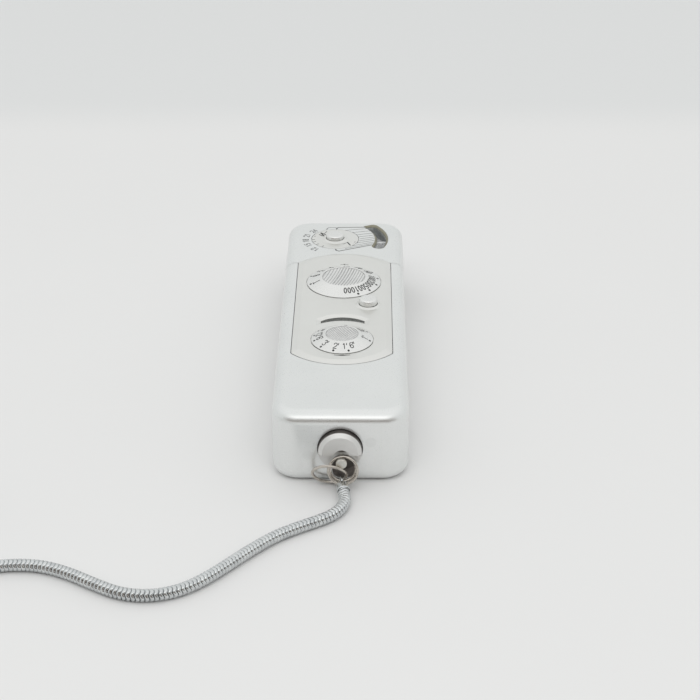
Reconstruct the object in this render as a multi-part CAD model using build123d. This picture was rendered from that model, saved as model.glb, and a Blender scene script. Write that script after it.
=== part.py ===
"""Telescoping subminiature camera with a selenium meter and a measuring chain.

Frame, in millimetres: +Y is the long axis (the meter housing is at +Y, the chain at -Y),
+X is the lens side, +Z is up, with both dials on top. The origin is the middle of the
underside of the closed camera. Everything is drawn with the camera closed.
"""

from build123d import *
from math import atan, cos, degrees, hypot, pi, radians, sin, sqrt, tan
import os

os.makedirs("parts", exist_ok=True)

# Driving dimensions: the casing
LENGTH, WIDTH, HEIGHT = 98.0, 28.0, 16.0
CORNER = 5.5            # plan radius of the four corners
EDGE = 2.5              # radius along the top and bottom edges
WALL = 0.9
SEAM = 23.65            # where the sliding shell meets the meter housing
SEAM_GAP = 0.12
CLEAR = 0.32            # between the chassis and the shell

# The control plate, with its bevelled border
PLATE_HALF = 10.85
PLATE_NEAR, PLATE_FAR = -27.6, 28.7
PLATE_ARC = 14.0
PLATE_TOP = 16.42
BORDER = 1.4
PLATE_GAP = 0.14
DECK_TOP = 14.7

# The chassis: its ends, and the inside of its tray
CHASSIS_NEAR, CHASSIS_TONGUE = -44.7, 27.6
IN_X, IN_LOW, IN_TOP = 11.85, 1.95, 13.8

# Dials, button and counter on the control plate
SHUTTER_Y, SHUTTER_R, SHUTTER_GRIP = 12.15, 8.5, 4.85
DISTANCE_Y, DISTANCE_R, DISTANCE_GRIP = -16.9, 6.7, 3.45
DIAL_GAP = 0.15
RELEASE_X, RELEASE_Y, RELEASE_R = 5.65, 0.42, 2.05
RELEASE_COLLAR, RELEASE_TOP = 2.85, 18.05
COUNTER_INNER, COUNTER_OUTER, COUNTER_HALF = 9.9, 11.55, 4.85
COUNTER_DROP = 1.9      # how far the crescent's outer arc falls to its tips
COUNTER_DISC = 11.5
HUB_R = 1.35
DIAL_RIM, DIAL_RIDGE = 16.62, 17.95
GRIP_FLOOR, GRIP_DISH = 17.1, 0.4

# The meter on the housing
METER_X, METER_Y = -3.1, 37.7
SPEED_X, SPEED_Y, SPEED_R = -2.45, 37.6, 5.7
METER_BUTTON_R, METER_BUTTON_TOP = 2.12, 17.35
METER_INNER, METER_OUTER = 10.8, 13.1
METER_FROM, METER_TO, METER_LEAN = -26.0, 44.0, 5.0
METER_BEVEL, METER_BEVEL_DEEP = 0.5, 0.45
NEEDLE_REST = 6.0
CELL_NEAR, CELL_FAR, CELL_LOW, CELL_HIGH = 29.0, 42.4, 3.6, 12.4

# Optics and film
LENS_Y, AXIS_Z = 2.0, 8.0
LENS_X0, LENS_X1 = 2.6, 8.4
SHUTTER_X = 9.95
BLADE_PIVOT = (LENS_Y + 4.6, AXIS_Z - 3.4)
FINDER_Y = 20.85
SPOOL_X, SPOOL_PITCH, SPOOL_WELL = -6.8, 11.2, 4.85
TAKE_UP_Y, SUPPLY_Y = LENS_Y - SPOOL_PITCH, LENS_Y + SPOOL_PITCH
CASE_LOW, CASE_TOP = 3.3, 13.6
FILM_X = -10.3
FILTER_PITCH = 6.4

# Film transport gears
MODULE = 0.5
PINION_TEETH, SPOOL_TEETH = 12, 16
PINION_R = MODULE * PINION_TEETH / 2
SPOOL_GEAR_R = MODULE * SPOOL_TEETH / 2
GEAR_LOW, GEAR_HIGH = 2.35, 3.15
PINION_X = -8.95
PINION_Y = TAKE_UP_Y - sqrt((PINION_R + SPOOL_GEAR_R)**2 - (SPOOL_X - PINION_X)**2)
CENTRE_LINE = degrees(atan((TAKE_UP_Y - PINION_Y) / (SPOOL_X - PINION_X)))
RACK_FROM, RACK_TO = -21.5, 12.0

# Chain plug and chain
PLUG_R, PLUG_HOLE, PLUG_OUT = 4.5, 4.65, 2.0
STUD_Z = 6.55
CHAIN_D = 2.5
CHAIN_Z = CHAIN_D / 2
COIL_X, COIL_Y, COIL_START, COIL_TURNS = -92.0, -62.0, 21.0, 5.5
COIL_HOLE, LAST_BEND = 7.2, 5.2
RING_R, RING_WIRE, RING_TILT = 2.75, 0.62, 13.0
RING_C = (0.35, -51.72, 4.88)
JUMP_R, JUMP_WIRE = 3.45, 0.62
JUMP_C = (-2.15, -51.55, 3.55)
EYE_R, CAP_R, CAP_LENGTH = 1.0, 1.35, 2.0
CATCH_Y = -36.0
CHAIN_ROUTE = [
    (0.95, -54.8), (1.15, -57.9), (0.34, -60.8), (-1.38, -63.2), (-4.1, -65.25), (-7.9, -67.5),
    (-12.2, -70.6), (-16.5, -75.2), (-20.6, -80.3), (-25.0, -85.6), (-29.5, -89.2), (-34.6, -90.7),
    (-40.0, -90.0), (-45.5, -86.7), (-50.6, -83.3), (-56.0, -81.0), (-61.8, -80.7), (-67.8, -82.0),
    (-74.0, -83.4), (-80.2, -83.5), (-86.2, -83.1),
]


def save(make):
    """Writes what a function makes as the node with the function's name."""
    shape = make()
    if isinstance(shape, (list, tuple)):
        shape = Compound(children=list(shape))
    shape.label = make.__name__
    export_step(shape, f"parts/{make.__name__}.step")


def block(x0, x1, y0, y1, z0, z1):
    """A box from its limits."""
    return Pos((x0 + x1) / 2, (y0 + y1) / 2, (z0 + z1) / 2) * Box(x1 - x0, y1 - y0, z1 - z0)


def post(radius, x, y, low, high):
    """An upright cylinder."""
    return Pos(x, y, (low + high) / 2) * Cylinder(radius, high - low)


def pin_x(radius, x0, x1, y, z):
    """A cylinder along X."""
    return Pos((x0 + x1) / 2, y, z) * Rot(0, 90, 0) * Cylinder(radius, x1 - x0)


def pin_y(radius, x, y0, y1, z):
    """A cylinder along Y."""
    return Pos(x, (y0 + y1) / 2, z) * Rot(90, 0, 0) * Cylinder(radius, y1 - y0)


def envelope(grow, low, high, near, far):
    """A rounded block that follows the casing, offset inwards by -grow."""
    body = block(-WIDTH / 2 - grow, WIDTH / 2 + grow, near, far, low, high)
    body = fillet(body.edges().filter_by(Axis.Z), CORNER + grow)
    rims = body.faces().sort_by(Axis.Z)[-1].edges() + body.faces().sort_by(Axis.Z)[0].edges()
    return fillet(rims, EDGE + grow * 0.8)


def casing():
    return envelope(0, 0, HEIGHT, -LENGTH / 2, LENGTH / 2)


def plate_face(grow, z):
    """The outline of the control plate: straight sides, an arc at both ends."""
    half = PLATE_HALF + grow
    sag = PLATE_ARC - sqrt(PLATE_ARC**2 - PLATE_HALF**2)
    near, far = PLATE_NEAR - grow, PLATE_FAR + grow
    low, high = near + sag, far - sag
    outline = [
        Line((-half, low), (-half, high)),
        ThreePointArc((-half, high), (0, far), (half, high)),
        Line((half, high), (half, low)),
        ThreePointArc((half, low), (0, near), (-half, low)),
    ]
    return Pos(0, 0, z) * fillet(make_face(Wire(outline)).vertices(), 1.1)


def revolve_profile(points, x, y):
    """A turned part on an upright axis, from (radius, height) points."""
    face = make_face(Polyline(*[(r, z) for r, z in points], close=True))
    return Pos(x, y, 0) * revolve(Plane.XZ * face, Axis.Z)


def gear(radius, teeth, low, high, turn, bore):
    """A spur gear with slim teeth, which leave backlash."""
    root, tip = radius - 0.9 * MODULE, radius + 0.7 * MODULE
    blank = Cylinder(root, high - low)
    foot = root - 0.3
    tooth = make_face(Polyline((foot, -0.36), (tip, -0.14), (tip, 0.14), (foot, 0.36), close=True))
    tooth = Pos(0, 0, -(high - low) / 2) * extrude(tooth, high - low)
    blank += [Rot(0, 0, turn + 360 / teeth * i) * tooth for i in range(teeth)]
    return Pos(0, 0, (low + high) / 2) * (blank - Cylinder(bore, high - low))


def coil_spring(radius, wire, low, high, turns, x, y):
    """A round-wire compression spring on an upright axis."""
    path = Helix((high - low) / turns, high - low, radius)
    section = Plane(origin=path @ 0, z_dir=path % 0) * Circle(wire / 2)
    return Pos(x, y, low) * sweep(section, path=path)


# The sliding shell, its rack, catch and chain plug

def sliding_shell():
    shell = casing() & block(-20, 20, -60, SEAM - SEAM_GAP, -5, 30)
    shell -= envelope(-WALL, WALL, HEIGHT - WALL, -LENGTH / 2 + 1.4, SEAM + 30)
    shell -= Pos(0, 0, 12) * extrude(plate_face(PLATE_GAP, 0), 10)
    shell -= pin_y(PLUG_HOLE, 0, -60, -46, AXIS_Z)
    shell -= post(1.75, 0, CATCH_Y, -1, 3)
    return shell


def chain_plug():
    """A turned plug with a bevelled rim; its lower front is cut back around the stud."""
    front = -LENGTH / 2 - PLUG_OUT
    body = pin_y(PLUG_R, 0, front, -46.9, AXIS_Z)
    rim = body.edges().sort_by(Axis.Y)[0]
    body = chamfer(rim, 0.85)
    step = block(-6, 6, front - 1, front + 1.35, 0, 7.55)
    arch = pin_y(1.6, 0.3, front - 1, front + 1.35, STUD_Z + 0.65)
    return body - step - arch - pin_y(0.62, 0.3, front, -46.5, STUD_Z)


def chain_socket():
    """The cup behind the end wall that the plug turns into."""
    cup = pin_y(PLUG_HOLE + 0.75, 0, -47.55, -45.3, AXIS_Z)
    return cup - pin_y(PLUG_HOLE - 0.15, 0, -48, -46.9, AXIS_Z) - pin_y(1.2, 0.3, -48, -45, STUD_Z)


def chain_stud():
    neck = pin_y(0.6, 0.3, -52.1, -46.9, STUD_Z)
    head = pin_y(1.1, 0.3, -52.75, -52.1, STUD_Z)
    return neck + fillet(head.edges().sort_by(Axis.Y)[0], 0.18)


def split_ring():
    """Two turns of wire side by side."""
    turns = [Pos(0, 0, side * 0.27) * Torus(RING_R, RING_WIRE / 2) for side in (-1, 1)]
    return Pos(*RING_C) * Rot(90 - RING_TILT, 0, 0) * (turns[0] + turns[1])


def jump_ring():
    return Pos(*JUMP_C) * Rot(0, 8, 0) * Rot(-58, 0, 0) * Torus(JUMP_R, JUMP_WIRE / 2)


def cap_and_eye():
    """A chain end along +Y: a cup over the chain, then a wire eye centred on the origin."""
    start = -CAP_LENGTH - EYE_R + 0.1
    cap = pin_y(CAP_R, 0, start, start + CAP_LENGTH, 0)
    cap = fillet(cap.edges(), 0.3) - pin_y(CHAIN_D / 2, 0, start - 1, start + 0.7, 0)
    return cap + Rot(0, 90, 0) * Torus(EYE_R, 0.26)


def chain_end_cap():
    """The end at the camera: its eye goes round the lowest stretch of the split ring."""
    lean = radians(RING_TILT)
    eye = (RING_C[0], RING_C[1] - RING_R * sin(lean), RING_C[2] - RING_R * cos(lean))
    return Pos(*eye) * Rot(10, 0, 8.8) * cap_and_eye()


def chain_far_cap():
    """The free end, lying inside the coil, where the last quarter turn leads."""
    end = COIL_START - CHAIN_D * COIL_TURNS
    eye = (COIL_X + LAST_BEND, COIL_Y + end - LAST_BEND - CAP_LENGTH - EYE_R, CAP_R + 0.02)
    return Pos(*eye) * Rot(0, 0, 180) * cap_and_eye()


def chain_path():
    """Straight runs joined by tangent arcs, as large as the runs allow."""
    points = [Vector(x, y, CHAIN_Z) for x, y in CHAIN_ROUTE]
    radii = []
    for before, here, after in zip(points, points[1:], points[2:]):
        turn = radians((here - before).get_angle(after - here))
        shorter = min((here - before).length, (after - here).length)
        radii.append(0.45 * shorter / tan(turn / 2))
    return FilletPolyline(*points, radius=radii)


def chain():
    path = chain_path()
    return sweep(Plane(origin=path @ 0, z_dir=path % 0) * Circle(CHAIN_D / 2), path=path)


def chain_coil():
    """The outer shape of the flat spiral that the rest of the chain lies in."""
    outer = COIL_START + CHAIN_D / 2
    ring = post(outer, COIL_X, COIL_Y, 0, CHAIN_D) - post(COIL_HOLE, COIL_X, COIL_Y, -1, 9)
    return fillet(ring.edges(), 0.9)


def chamber_catch():
    """The push button that lets the shell come further off to load film."""
    head = post(1.6, 0, CATCH_Y, 0.15, 1.0)
    return fillet(head.edges().sort_by(Axis.Z)[0], 0.3) + post(0.55, 0, CATCH_Y, 0.9, 1.15)


def transport_rack():
    """The rack along the shell's left wall that drives the film as the shell slides."""
    pitch = pi * MODULE
    line = PINION_X - PINION_R
    root, tip = line - 0.9 * MODULE, line + 0.7 * MODULE
    bar = block(-WIDTH / 2 + WALL + 0.04, root, RACK_FROM, RACK_TO, GEAR_LOW, GEAR_HIGH)
    foot = root - 0.2
    tooth = make_face(Polyline((foot, -0.36), (tip, -0.14), (tip, 0.14), (foot, 0.36), close=True))
    tooth = Pos(0, 0, GEAR_LOW) * extrude(tooth, GEAR_HIGH - GEAR_LOW)
    lead = radians((CENTRE_LINE - 180) % (360 / PINION_TEETH)) * PINION_R
    first = PINION_Y - lead + pitch / 2
    first -= pitch * int((first - RACK_FROM - 0.4) / pitch)
    count = int((RACK_TO - 0.4 - first) / pitch) + 1
    return bar + [Pos(0, first + pitch * i, 0) * tooth for i in range(count)]


def guide_strips():
    """Two bowed bronze strips that steady the chassis inside the shell."""
    x = WIDTH / 2 - WALL
    right = [block(x - 0.16, x, -40, 14, low, low + 2) for low in (3.6, 11.0)]
    return right + [block(-x, -x + 0.16, -40, 14, 11.0, 13.0)]


# Casing pieces that move with the chassis

def meter_housing():
    shell = casing() & block(-20, 20, SEAM, 60, -5, 30)
    shell -= envelope(-1.2, 1.2, HEIGHT - 1.2, SEAM - 30, LENGTH / 2 - 1.4)
    shell -= Pos(0, 0, 12) * extrude(plate_face(0.02, 0), 10)
    shell -= [post(0.52, x, 25.4, -1, 3) for x in (-9, 9)]
    shell -= [post(0.92, x, 25.4, -1, 0.56) for x in (-9, 9)]
    shell -= post(SPEED_R + 0.12, SPEED_X, SPEED_Y, HEIGHT - 0.5, 20)
    shell -= post(METER_BUTTON_R + 0.12, SPEED_X, SPEED_Y, 12, 20)
    shell -= extrude(meter_crescent(0, 10), 10)
    floor, rim = meter_crescent(0, HEIGHT - METER_BEVEL_DEEP), meter_crescent(METER_BEVEL, HEIGHT + 0.01)
    shell -= loft([floor, rim], ruled=True)
    return shell - block(10, 20, CELL_NEAR, CELL_FAR, CELL_LOW, CELL_HIGH)


def meter_crescent(grow, z):
    """The meter's opening: an arc around the film speed disc, drawn out to a point at its far end."""
    inner, outer = METER_INNER - grow, METER_OUTER + grow
    spread = degrees(grow / METER_OUTER)
    near, far = METER_FROM - spread, METER_TO + spread
    middle = (METER_FROM + METER_TO) / 2

    def at(radius, angle):
        return (METER_X + radius * cos(radians(angle)), METER_Y + radius * sin(radians(angle)))

    outline = [
        ThreePointArc(at(inner, near), at(inner, middle), at(inner, far)),
        Line(at(inner, far), at(outer, far - METER_LEAN)),
        ThreePointArc(at(outer, far - METER_LEAN), at(outer, middle), at(outer, near)),
        Line(at(outer, near), at(inner, near)),
    ]
    face = make_face(Wire(outline))
    face = fillet(face.vertices().sort_by(Axis.Y)[:2], 1.0 + grow)
    face = fillet(face.vertices().sort_by(Axis.Y)[-1], 0.9 + grow / 2)
    face = fillet(face.vertices().sort_by(Axis.X)[0], 0.3 + grow / 2)
    return Pos(0, 0, z) * face


def honeycomb_frame():
    x = WIDTH / 2
    frame = block(x - 1.2, x + 0.12, CELL_NEAR + 0.04, CELL_FAR - 0.04, CELL_LOW + 0.04, CELL_HIGH - 0.04)
    return frame - block(x - 2, x + 1, CELL_NEAR + 0.8, CELL_FAR - 0.8, CELL_LOW + 0.8, CELL_HIGH - 0.8)


def honeycomb_lens():
    """A moulded sheet with rows of small domes in front of the cell."""
    x = WIDTH / 2
    limits = (CELL_NEAR + 0.82, CELL_FAR - 0.82, CELL_LOW + 0.82, CELL_HIGH - 0.82)
    room = block(x - 1.2, x + 0.1, *limits)
    sheet = block(x - 1.2, x - 0.35, *limits)
    for row in range(4):
        for column in range(6 - row % 2):
            y = (CELL_NEAR + CELL_FAR) / 2 + (column - (5 - row % 2) / 2) * 1.9
            z = (CELL_LOW + CELL_HIGH) / 2 + (row - 1.5) * 1.65
            sheet += (Pos(x - 1.05, y, z) * Sphere(1.0)) & room
    return sheet


def selenium_cell():
    x = WIDTH / 2
    return block(x - 2.1, x - 1.4, CELL_NEAR - 0.5, CELL_FAR + 0.5, CELL_LOW - 0.5, CELL_HIGH + 0.5)


def chassis():
    """The inner body: an open tray with windows for the lens and the finder."""
    tray = envelope(-WALL - CLEAR, WALL + CLEAR, HEIGHT - WALL - CLEAR, CHASSIS_NEAR, 60)
    tray = tray & block(-20, 20, -60, CHASSIS_TONGUE, -1, IN_TOP)
    tray -= block(-IN_X, IN_X, CHASSIS_NEAR + 0.9, CHASSIS_TONGUE - 0.8, IN_LOW, 20)
    tray -= pin_x(2.6, 10, 20, LENS_Y, AXIS_Z)
    tray -= pin_x(3.3, 12.15, 20, LENS_Y, AXIS_Z)
    tray -= block(-20, 20, FINDER_Y - 1.7, FINDER_Y + 1.7, AXIS_Z - 1.9, AXIS_Z + 1.9)
    tray -= block(-20, -11.3, -60, RACK_TO + 1, GEAR_LOW - 0.25, GEAR_HIGH + 0.25)
    tray -= [post(0.5, x, 25.4, 0, 3) for x in (-9, 9)]
    tray -= block(8.85, 9.95, LENS_Y - 2 * FILTER_PITCH - 1.3, LENS_Y + 0.7, 0, 3)
    tray -= post(1.75, 0, CATCH_Y, 0, 1.7)
    return tray - block(-0.9, 0.9, -60, CATCH_Y + 1.2, 0, 3)


def deck_plate():
    """The plate over the tray that carries the dials' bearings and the counter."""
    tray = envelope(-WALL - CLEAR, WALL + CLEAR, HEIGHT - WALL - CLEAR, CHASSIS_NEAR, 60)
    deck = tray & block(-20, 20, -60, CHASSIS_TONGUE, IN_TOP, DECK_TOP)
    deck -= post(COUNTER_DISC + 0.2, 0, DISTANCE_Y, 14.1, 20)
    deck -= post(4.4, 0, SHUTTER_Y, 14.1, 20)
    deck -= [post(HUB_R + 0.1, 0, y, 10, 20) for y in (DISTANCE_Y, SHUTTER_Y)]
    deck -= post(2.0, RELEASE_X, RELEASE_Y, 14.1, 20)
    return deck - post(1.2, RELEASE_X, RELEASE_Y, 10, 20)


def control_plate():
    """The proud panel with a sloping border, holding both dials and the release."""
    plate = extrude(plate_face(0, DECK_TOP), HEIGHT - DECK_TOP)
    plate += loft([plate_face(0, HEIGHT), plate_face(-BORDER, PLATE_TOP)], ruled=True)
    plate -= post(SHUTTER_R + DIAL_GAP, 0, SHUTTER_Y, PLATE_TOP - 0.32, 20)
    plate -= post(2.3, 0, SHUTTER_Y, 10, 20)
    plate -= post(DISTANCE_R + DIAL_GAP, 0, DISTANCE_Y, PLATE_TOP - 0.32, 20)
    plate -= post(2.3, 0, DISTANCE_Y, 10, 20)
    high = PLATE_TOP + 0.3
    collar = [(0, HEIGHT), (RELEASE_COLLAR, HEIGHT), (RELEASE_COLLAR, PLATE_TOP), (RELEASE_R + 0.25, high),
              (0, high)]
    plate += revolve_profile(collar, RELEASE_X, RELEASE_Y)
    plate -= post(RELEASE_R + 0.12, RELEASE_X, RELEASE_Y, 10, 20)
    plate -= extrude(counter_crescent(0, 10), 10)
    return plate - loft([counter_crescent(0, PLATE_TOP - 0.42), counter_crescent(1.0, PLATE_TOP + 0.01)],
                        ruled=True)


def counter_crescent(grow, z):
    """The counter's opening: between an arc round the distance dial and a tighter one."""
    half, inner = COUNTER_HALF + 1.1 * grow, COUNTER_INNER - grow
    foot = sqrt(inner**2 - half**2)
    tip = COUNTER_OUTER - COUNTER_DROP + 0.2 * grow
    outline = [
        ThreePointArc((-half, tip), (0, COUNTER_OUTER + grow), (half, tip)),
        Line((half, tip), (half, foot)),
        ThreePointArc((half, foot), (0, inner), (-half, foot)),
        Line((-half, foot), (-half, tip)),
    ]
    return Pos(0, DISTANCE_Y, z) * make_face(Wire(outline))


def counter_window():
    return extrude(counter_crescent(-0.03, 15.15), 0.4)


def meter_window():
    return extrude(meter_crescent(-0.03, 14.9), 0.6)


def meter_scale():
    return extrude(meter_crescent(0.5, 12.3), 0.3)


# The dials

def turned_dial(radius, grip, y, hub):
    """A coned dial on a hub that turns in the deck, with a raised ring round its grip."""
    low = PLATE_TOP - 0.22
    points = [(0, hub), (HUB_R, hub), (HUB_R, low), (radius, low), (radius, DIAL_RIM - 0.08),
              (radius - 0.1, DIAL_RIM), (grip + 0.42, DIAL_RIDGE - 0.06), (grip + 0.24, DIAL_RIDGE),
              (grip + 0.06, DIAL_RIDGE - 0.1), (grip + 0.01, GRIP_FLOOR), (0, GRIP_FLOOR)]
    return revolve_profile(points, 0, y)


def dished_grip(radius, y):
    """The grip pressed into a dial: a disc with a hollow for the fingertip."""
    high = DIAL_RIDGE - 0.16
    ball = ((radius - 0.08)**2 + GRIP_DISH**2) / (2 * GRIP_DISH)
    disc = post(radius, 0, y, GRIP_FLOOR, high)
    return disc - Pos(0, y, high - GRIP_DISH + ball) * Sphere(ball)


def shutter_dial():
    return turned_dial(SHUTTER_R, SHUTTER_GRIP, SHUTTER_Y, 13.0)


def shutter_dial_grip():
    return dished_grip(SHUTTER_GRIP, SHUTTER_Y)


def shutter_cam():
    cam = post(4.1, 0, SHUTTER_Y, 14.2, 14.6) - post(HUB_R, 0, SHUTTER_Y, 10, 20)
    return cam - post(1.0, 4.2, SHUTTER_Y, 10, 20)


def distance_dial():
    return turned_dial(DISTANCE_R, DISTANCE_GRIP, DISTANCE_Y, 10.4)


def distance_dial_grip():
    return dished_grip(DISTANCE_GRIP, DISTANCE_Y)


def focus_cam():
    """An off-centre cam on the distance dial's shaft, which pushes the lens carriage."""
    return post(1.78, -0.22, DISTANCE_Y, 10.6, 11.6) - post(HUB_R, 0, DISTANCE_Y, 5, 20)


def counter_disc():
    disc = post(COUNTER_DISC, 0, DISTANCE_Y, 14.2, 14.5)
    cuts = [post(0.5, COUNTER_DISC * cos(radians(a)), DISTANCE_Y + COUNTER_DISC * sin(radians(a)), 10, 20)
            for a in range(0, 360, 15)]
    return disc - post(HUB_R + 0.3, 0, DISTANCE_Y, 10, 20) - cuts


def release_button():
    head = post(RELEASE_R, RELEASE_X, RELEASE_Y, 15.6, RELEASE_TOP)
    head = fillet(head.edges().sort_by(Axis.Z)[-1], 0.5)
    return head + post(0.95, RELEASE_X, RELEASE_Y, 12.9, 15.7)


def release_spring():
    return coil_spring(1.5, 0.26, 14.25, 15.45, 3, RELEASE_X, RELEASE_Y)


# The meter's moving pieces

def speed_disc():
    low, high, collar = HEIGHT - 0.45, HEIGHT + 0.05, HEIGHT + 0.35
    disc = revolve_profile([(0, low), (SPEED_R, low), (SPEED_R, high - 0.06), (SPEED_R - 0.06, high),
                            (METER_BUTTON_R + 0.95, high), (METER_BUTTON_R + 0.2, collar), (0, collar)],
                           SPEED_X, SPEED_Y)
    return disc - post(METER_BUTTON_R + 0.12, SPEED_X, SPEED_Y, 10, 20)


def meter_button():
    head = post(METER_BUTTON_R, SPEED_X, SPEED_Y, 14.0, METER_BUTTON_TOP)
    head = fillet(head.edges().sort_by(Axis.Z)[-1], 0.5)
    return head + post(METER_BUTTON_R + 0.8, SPEED_X, SPEED_Y, 13.8, 14.3)


def meter_button_spring():
    return coil_spring(2.3, 0.26, 12.3, 13.65, 3, SPEED_X, SPEED_Y)


def needle_turn(shape):
    return Pos(METER_X, METER_Y, 0) * Rot(0, 0, NEEDLE_REST) * shape


def meter_needle():
    """The pointer: a light bar on the moving coil, with a broad tip under the window."""
    bar = block(-3.0, 9.5, -0.16, 0.16, 11.35, 11.6)
    riser = block(9.2, 9.5, -0.16, 0.16, 11.35, 14.45)
    tip = block(9.2, 13.4, -0.5, 0.5, 14.2, 14.45)
    return needle_turn(bar + riser + tip + post(0.5, 0, 0, 10.9, 11.6))


def moving_coil():
    """The coil that the needle is fixed to, turning around the magnet's core."""
    frame = block(-3.3, 3.3, -1.5, 1.5, 4.0, 10.9) - block(-2.7, 2.7, -2, 2, 4.6, 10.3)
    return needle_turn(frame)


def meter_magnet():
    """A ring magnet around the moving coil, with its core inside."""
    ring = post(5.6, METER_X, METER_Y, 4.6, 10.4) - post(4.3, METER_X, METER_Y, 1, 12)
    return [ring, post(2.15, METER_X, METER_Y, 4.9, 10.0)]


def meter_bridge():
    """The moulding that holds the magnet, the scale and the button's spring."""
    back = 45.2
    floor = block(-10.5, 10.5, 30.0, back, 1.25, 2.2)
    ring = post(6.0, METER_X, METER_Y, 2.1, 4.5) - post(4.4, METER_X, METER_Y, 2.2, 5)
    legs = [block(METER_X + side * 4 - 0.6, METER_X + side * 4 + 0.6, back - 1.2, back, 2.1, 12.1)
            for side in (-1, 1)]
    beam = block(METER_X - 4.6, METER_X + 4.6, METER_Y - 2.9, back, 11.9, 12.15)
    shelf = extrude(meter_crescent(0.4, 12.0), 0.28)
    prop = post(0.7, METER_X + METER_OUTER - 1, METER_Y + 4, 2.1, 12.1)
    return floor + ring + legs + beam + shelf + prop


# Optics

def lens_window():
    return pin_x(3.25, 12.2, 12.65, LENS_Y, AXIS_Z)


def finder_pane(x0, x1):
    return block(x0, x1, FINDER_Y - 1.65, FINDER_Y + 1.65, AXIS_Z - 1.85, AXIS_Z + 1.85)


def finder_tube():
    """The blackened tube between the finder's two lenses."""
    tube = block(-11.75, 11.75, FINDER_Y - 2.2, FINDER_Y + 2.2, AXIS_Z - 2.6, AXIS_Z + 2.6)
    return tube - block(-13, 13, FINDER_Y - 1.7, FINDER_Y + 1.7, AXIS_Z - 2.1, AXIS_Z + 2.1)


def lens_carriage():
    """The lens barrel with the arm that the focus cam pushes."""
    barrel = pin_x(3.6, LENS_X0, LENS_X1, LENS_Y, AXIS_Z) - pin_x(2.55, 0, 12, LENS_Y, AXIS_Z)
    arm = block(LENS_X0, LENS_X0 + 0.8, DISTANCE_Y - 1.0, LENS_Y + 1.0, 10.75, 11.5)
    return barrel + arm


def lens_glasses():
    """Four small elements, each a lens between two curved faces."""
    glasses = []
    for x0, bulge in ((3.2, 0.25), (4.6, 0.2), (6.0, 0.2), (7.4, 0.3)):
        disc = pin_x(2.5, x0, x0 + 0.7, LENS_Y, AXIS_Z)
        ball_r = (2.5**2 + bulge**2) / (2 * bulge)
        ball = Pos(x0 + 0.7 - ball_r + bulge * 0.5, LENS_Y, AXIS_Z) * Sphere(ball_r)
        glasses.append(disc & ball)
    return glasses


def shutter_base():
    """The shutter's plate behind the blade, with the exposure opening."""
    x0, x1 = SHUTTER_X + 0.55, SHUTTER_X + 0.8
    plate = block(x0, x1, LENS_Y - 7.5, LENS_Y + 7.0, 3.6, IN_TOP)
    foot = block(x0, x1, LENS_Y + 3.0, LENS_Y + 7.0, IN_LOW, 4.0)
    return plate + foot - pin_x(2.3, 5, 15, LENS_Y, AXIS_Z)


def shutter_blade():
    y, z = BLADE_PIVOT
    blade = pin_x(3.0, SHUTTER_X, SHUTTER_X + 0.25, LENS_Y, AXIS_Z)
    reach = hypot(LENS_Y - y, AXIS_Z - z)
    lean = degrees(atan((AXIS_Z - z) / (LENS_Y - y)))
    middle = (SHUTTER_X + 0.125, (y + LENS_Y) / 2, (z + AXIS_Z) / 2)
    arm = Pos(*middle) * Rot(lean, 0, 0) * Box(0.25, reach, 1.4)
    hub = pin_x(0.9, SHUTTER_X, SHUTTER_X + 0.25, y, z)
    return blade + arm + hub - pin_x(0.35, 5, 15, y, z)


def blade_pivot():
    y, z = BLADE_PIVOT
    head = pin_x(0.7, SHUTTER_X - 0.6, SHUTTER_X - 0.3, y, z)
    return head + pin_x(0.3, SHUTTER_X - 0.35, SHUTTER_X + 0.55, y, z)


def filter_slide():
    """A bar with an open hole and two filter cells, moved by a tab below."""
    x0, x1 = 10.95, 11.55
    bar = block(x0, x1, LENS_Y - 3.1, LENS_Y + 2 * FILTER_PITCH + 3.0, AXIS_Z - 3.1, AXIS_Z + 3.1)
    for i in range(3):
        bar -= pin_x(2.45, 5, 15, LENS_Y + i * FILTER_PITCH, AXIS_Z)
    stem = block(x0, x1, LENS_Y - 1.0, LENS_Y + 0.4, 3.0, 5.2)
    foot = block(9.1, x1, LENS_Y - 1.0, LENS_Y + 0.4, 2.3, 3.0)
    return bar + stem + foot + block(9.1, 9.7, LENS_Y - 1.0, LENS_Y + 0.4, 1.3, 2.4)


def filter_glasses():
    return [pin_x(2.43, 11.05, 11.45, LENS_Y + i * FILTER_PITCH, AXIS_Z) for i in (1, 2)]


# Film and transport

def film_cassette():
    """Two film chambers joined by a bridge, open at the back where the film crosses."""
    shape = post(SPOOL_WELL, SPOOL_X, TAKE_UP_Y, CASE_LOW, CASE_TOP)
    shape += post(SPOOL_WELL, SPOOL_X, SUPPLY_Y, CASE_LOW, CASE_TOP)
    for y in (TAKE_UP_Y, SUPPLY_Y):
        shape -= post(SPOOL_WELL - 0.5, SPOOL_X, y, CASE_LOW + 0.5, CASE_TOP - 0.5)
        shape -= post(1.5, SPOOL_X, y, 0, 20)
    shape += block(-9.6, -9.2, TAKE_UP_Y + 3.8, SUPPLY_Y - 3.8, CASE_LOW, CASE_TOP)
    shape -= block(-11, -8, LENS_Y - 5.5, LENS_Y + 5.5, AXIS_Z - 4, AXIS_Z + 4)
    return shape - block(-10.6, -10.1, TAKE_UP_Y, SUPPLY_Y, CASE_LOW + 0.5, CASE_TOP - 0.5)


def spool(y, low):
    """A spool with the film rolled on it."""
    core = post(2.6, SPOOL_X, y, CASE_LOW + 0.75, CASE_TOP - 0.75)
    roll = post(3.6, SPOOL_X, y, CASE_LOW + 1.0, CASE_TOP - 1.0)
    shaft = post(1.2, SPOOL_X, y, low, CASE_TOP - 0.4)
    return core + roll + shaft


def take_up_spool():
    return spool(TAKE_UP_Y, GEAR_HIGH)


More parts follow.
